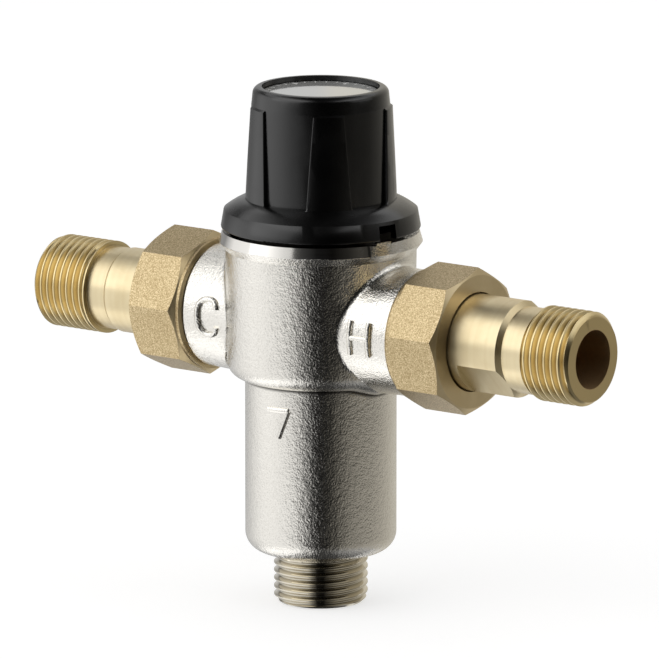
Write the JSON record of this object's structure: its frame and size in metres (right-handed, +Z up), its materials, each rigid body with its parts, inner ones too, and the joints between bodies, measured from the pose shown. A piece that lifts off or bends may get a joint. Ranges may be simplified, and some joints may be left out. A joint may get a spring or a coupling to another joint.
{
  "type": "thermostatic mixing valve",
  "caption": "Tempering valve with a plated round body, a ribbed setting knob on top, a hot and a cold side union and a threaded mixed-water outlet below.",
  "frame": {"origin": "centre of the mixed-water outlet's end face, at the foot of the valve", "axes": "+Z up the valve's axis to the knob, +X out of the hot inlet, -X out of the cold inlet, -Y to the front"},
  "size_m": [0.147, 0.0452, 0.1163],
  "materials": {
    "plated_body": "satin nickel plating on shot-blasted brass",
    "brass_turned": "bright turned",
    "brass_blasted": "sand-blasted matte",
    "brass_inner": "machined",
    "knob_plastic": "satin black",
    "label_foil": "silver-grey print",
    "engineering_plastic": "moulded",
    "spring_steel": "stainless",
    "fibre_gasket": "pressed fibre",
    "seal": "smooth rubber"
  },
  "bodies": {
    "housing": {"valve_body": "plated_body", "cold_seat_ring": "brass_inner", "bonnet": "brass_inner", "bonnet_o_ring": "seal", "hot_tailpiece": "brass_turned", "cold_tailpiece": "brass_turned", "hot_union_gasket": "fibre_gasket", "hot_strainer": "spring_steel", "hot_check_housing": "engineering_plastic", "hot_check_o_ring": "seal", "hot_check_spring": "spring_steel", "cold_union_gasket": "fibre_gasket", "cold_strainer": "spring_steel", "cold_check_housing": "engineering_plastic", "cold_check_o_ring": "seal", "cold_check_spring": "spring_steel", "return_spring": "spring_steel"},
    "dial": {"temperature_knob": "knob_plastic", "dial_label": "label_foil", "knob_screw": "spring_steel", "spindle": "brass_inner", "spindle_washer": "engineering_plastic", "spindle_snap_ring": "spring_steel", "spindle_o_ring_lower": "seal", "spindle_o_ring_upper": "seal"},
    "adjuster": {"adjusting_cup": "brass_inner", "cup_snap_ring": "spring_steel", "pressure_plate": "spring_steel", "overload_spring": "spring_steel", "element_piston": "spring_steel"},
    "shuttle": {"shuttle": "engineering_plastic", "shuttle_o_ring": "seal", "element_capsule": "brass_inner"},
    "hot_poppet": {"hot_check_poppet": "engineering_plastic"},
    "cold_poppet": {"cold_check_poppet": "engineering_plastic"},
    "hot_nut": {"hot_union_nut": "brass_blasted"},
    "cold_nut": {"cold_union_nut": "brass_blasted"}
  },
  "joints": [
    {"name": "dial_turn", "type": "hinge", "parent": "housing", "child": "dial", "pos_m": [0, 0, 0.095], "axis": [0, 0, 1], "range_deg": [-150, 150]},
    {"name": "adjuster_slide", "type": "slide", "parent": "housing", "child": "adjuster", "axis": [0, 0, 1], "range_m": [-0.00125, 0.00125]},
    {"name": "shuttle_slide", "type": "slide", "parent": "housing", "child": "shuttle", "axis": [0, 0, 1], "range_m": [-0.0008, 0.0008], "stiffness_N_per_m": 2000, "deforming": ["return_spring"]},
    {"name": "hot_check_slide", "type": "slide", "parent": "housing", "child": "hot_poppet", "axis": [-1, 0, 0], "range_m": [0, 0.0022], "stiffness_N_per_m": 100, "springref_m": -0.002, "deforming": ["hot_check_spring"]},
    {"name": "cold_check_slide", "type": "slide", "parent": "housing", "child": "cold_poppet", "axis": [1, 0, 0], "range_m": [0, 0.0022], "stiffness_N_per_m": 100, "springref_m": -0.002, "deforming": ["cold_check_spring"]},
    {"name": "hot_nut_turn", "type": "hinge", "parent": "housing", "child": "hot_nut", "pos_m": [0.0354, 0, 0.0639], "axis": [1, 0, 0], "continuous": true},
    {"name": "cold_nut_turn", "type": "hinge", "parent": "housing", "child": "cold_nut", "pos_m": [-0.0354, 0, 0.0639], "axis": [-1, 0, 0], "continuous": true}
  ],
  "couplings": [
    {"joint": "dial_turn", "follows": "adjuster_slide", "rad_per_m": -2094.4}
  ]
}
